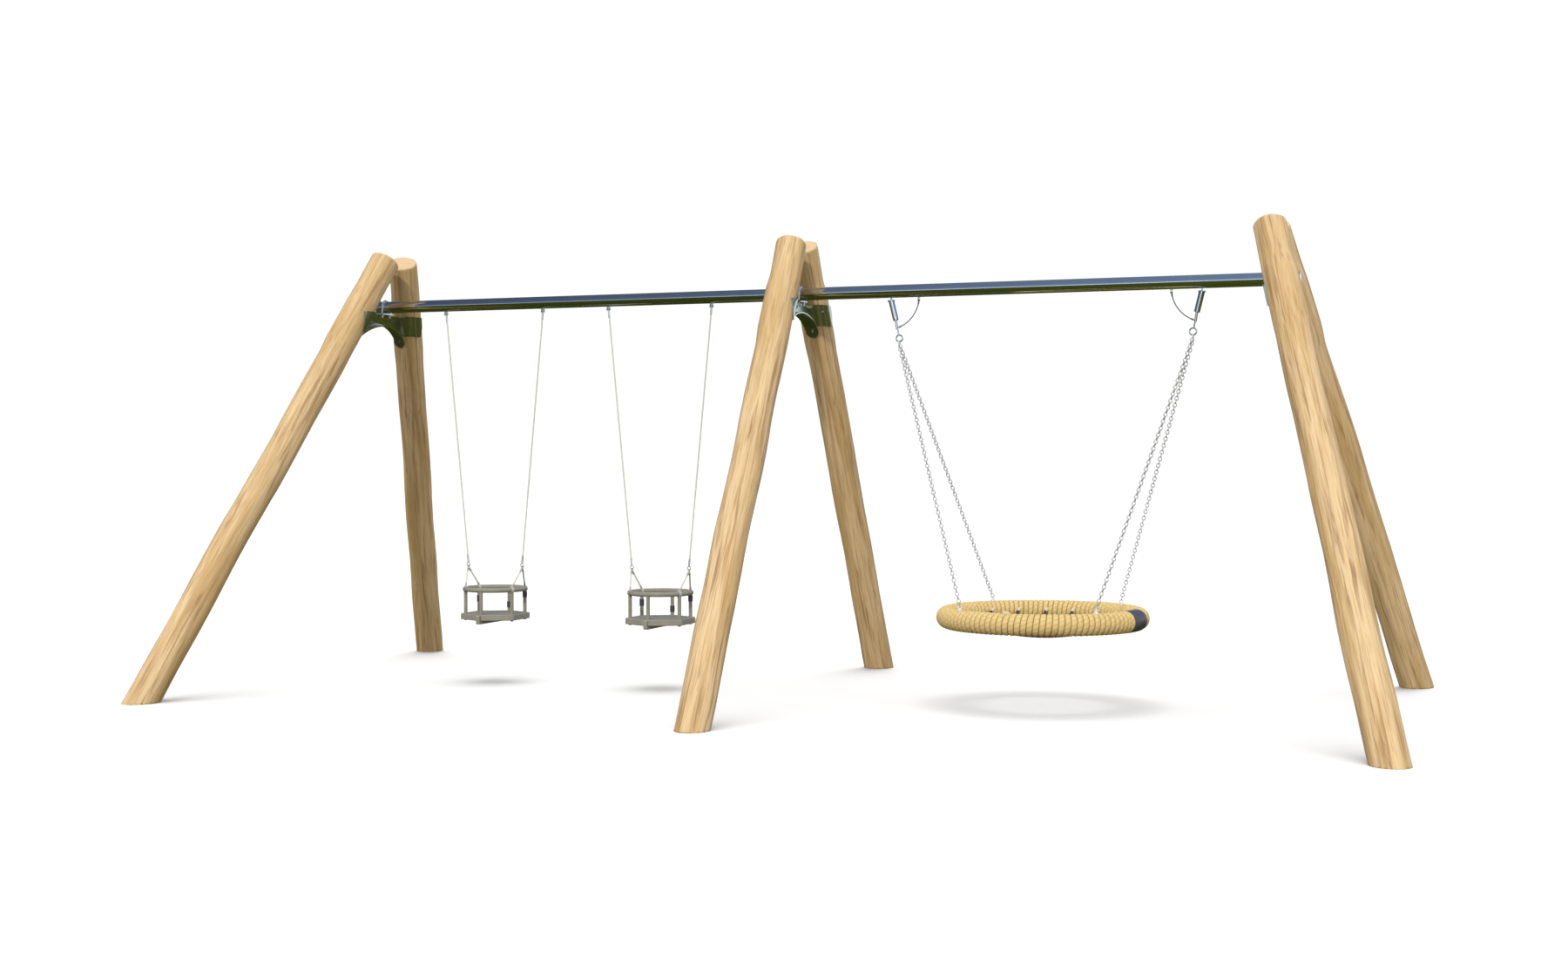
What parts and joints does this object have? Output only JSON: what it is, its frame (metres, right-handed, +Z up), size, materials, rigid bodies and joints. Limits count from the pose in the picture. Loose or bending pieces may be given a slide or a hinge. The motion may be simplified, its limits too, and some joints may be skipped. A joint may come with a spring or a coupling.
{
  "type": "swing set",
  "caption": "Timber A-frame swing set with a round steel beam, two cradle seats for toddlers and one round net swing.",
  "frame": {"origin": "on the ground under the middle of the frame, the middle of the bounding box's base", "axes": "+X along the beam towards the nest swing, +Y towards the rear legs, +Z up"},
  "size_m": [7.1663, 3.506, 2.7424],
  "materials": {
    "timber": "peeled round timber, oiled, with long brown grain streaks",
    "beam_steel": "bright galvanised round tube",
    "bracket_steel": "dull galvanised plate",
    "bolt_steel": "bright zinc plated",
    "wire_rope": "stranded steel wire rope",
    "chain_steel": "galvanised short-link chain",
    "hoop_rope": "tan rope wound tightly round the hoop",
    "sleeve_plastic": "smooth dark joint sleeve",
    "hoop_steel": "plain steel tube, hidden",
    "net_rope": "dark laid rope",
    "seat_board": "grey-olive moulded rubbery board",
    "seat_tube": "grey-olive coated tube",
    "seat_rubber": "dark rubber sleeve"
  },
  "bodies": {
    "frame": {"post_left_front": "timber", "post_left_rear": "timber", "post_middle_front": "timber", "post_middle_rear": "timber", "post_right_front": "timber", "post_right_rear": "timber", "beam_left": "beam_steel", "beam_right": "beam_steel", "beam_spigot": "beam_steel", "beam_caps": "beam_steel", "bracket_left": "bracket_steel", "bracket_middle": "bracket_steel", "bracket_right": "bracket_steel", "ubolts_left": "bolt_steel", "ubolts_middle": "bolt_steel", "ubolts_right": "bolt_steel", "screws_left": "bolt_steel", "screws_middle": "bolt_steel", "screws_right": "bolt_steel", "cradle_clevises": "bracket_steel", "cradle_pins": "bolt_steel", "nest_lugs": "bracket_steel", "nest_cable_eyes": "bracket_steel"},
    "nest_hangers": {"nest_pins": "bolt_steel", "nest_hanger_left": "chain_steel", "nest_hanger_right": "chain_steel", "nest_safety_cable_left": "wire_rope", "nest_safety_cable_right": "wire_rope"},
    "nest_basket": {"nest_chains_left": "chain_steel", "nest_chains_right": "chain_steel", "nest_chain_fittings": "chain_steel", "nest_hoop": "hoop_steel", "nest_winding": "hoop_rope", "nest_sleeve": "sleeve_plastic", "nest_net_long": "net_rope", "nest_net_cross": "net_rope", "nest_net_ferrules": "bolt_steel"},
    "cradle_1_lines": {"cradle_1_line_ends": "bolt_steel", "cradle_1_line_left": "wire_rope", "cradle_1_line_right": "wire_rope"},
    "cradle_1_seat": {"cradle_1_bridle_left": "wire_rope", "cradle_1_bridle_right": "wire_rope", "cradle_1_ring": "seat_tube", "cradle_1_bars": "seat_tube", "cradle_1_board": "seat_board", "cradle_1_keel": "seat_tube", "cradle_1_cuffs": "seat_rubber"},
    "cradle_2_lines": {"cradle_2_line_ends": "bolt_steel", "cradle_2_line_left": "wire_rope", "cradle_2_line_right": "wire_rope"},
    "cradle_2_seat": {"cradle_2_bridle_left": "wire_rope", "cradle_2_bridle_right": "wire_rope", "cradle_2_ring": "seat_tube", "cradle_2_bars": "seat_tube", "cradle_2_board": "seat_board", "cradle_2_keel": "seat_tube", "cradle_2_cuffs": "seat_rubber"}
  },
  "joints": [
    {"name": "cradle_1_swing", "type": "hinge", "parent": "frame", "child": "cradle_1_lines", "pos_m": [-2.042, 0, 2.346], "axis": [1, 0, 0], "range_deg": [-55, 55]},
    {"name": "cradle_1_tilt", "type": "hinge", "parent": "cradle_1_lines", "child": "cradle_1_seat", "pos_m": [-2.042, 0, 0.735], "axis": [1, 0, 0], "range_deg": [-20, 20]},
    {"name": "cradle_2_swing", "type": "hinge", "parent": "frame", "child": "cradle_2_lines", "pos_m": [-0.898, 0, 2.346], "axis": [1, 0, 0], "range_deg": [-55, 55]},
    {"name": "cradle_2_tilt", "type": "hinge", "parent": "cradle_2_lines", "child": "cradle_2_seat", "pos_m": [-0.898, 0, 0.735], "axis": [1, 0, 0], "range_deg": [-20, 20]},
    {"name": "nest_swing", "type": "hinge", "parent": "frame", "child": "nest_hangers", "pos_m": [1.49, 0, 2.345], "axis": [1, 0, 0], "range_deg": [-50, 50]},
    {"name": "nest_tilt", "type": "hinge", "parent": "nest_hangers", "child": "nest_basket", "pos_m": [1.49, 0, 2.1035], "axis": [1, 0, 0], "range_deg": [-12, 12]}
  ]
}
